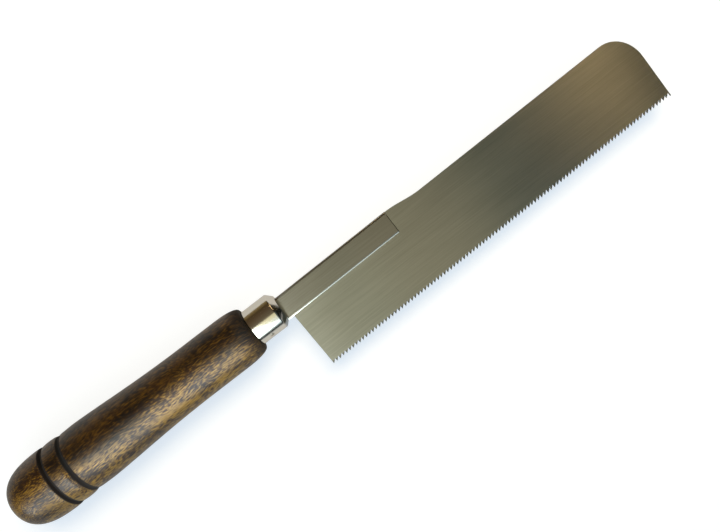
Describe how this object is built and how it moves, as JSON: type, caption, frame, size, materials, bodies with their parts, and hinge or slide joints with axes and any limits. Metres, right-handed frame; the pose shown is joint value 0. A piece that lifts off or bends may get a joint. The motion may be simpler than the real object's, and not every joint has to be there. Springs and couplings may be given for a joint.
{
  "type": "flush cut saw",
  "caption": "Small hand saw for trimming flush: a thin toothed plate in a folded steel back, on a turned wooden handle with a plated ferrule.",
  "frame": {"origin": "on the handle's axis, at the wood's front shoulder where the ferrule begins", "axes": "+X along the handle's axis towards the toe of the plate, +Y towards the back, away from the teeth, +Z square to the plate"},
  "size_m": [0.3126, 0.0455, 0.0276],
  "materials": {
    "stained_walnut": "dark stained, semi-gloss lacquer",
    "nickel_plate": "polished nickel plate on brass",
    "pin_steel": "bright steel",
    "back_steel": "folded strip, brushed lengthwise",
    "plate_steel": "spring steel, brushed lengthwise"
  },
  "bodies": {
    "root": {"handle": "stained_walnut", "ferrule": "nickel_plate", "ferrule_pin": "pin_steel", "back": "back_steel", "saw_plate": "plate_steel"}
  },
  "joints": []
}
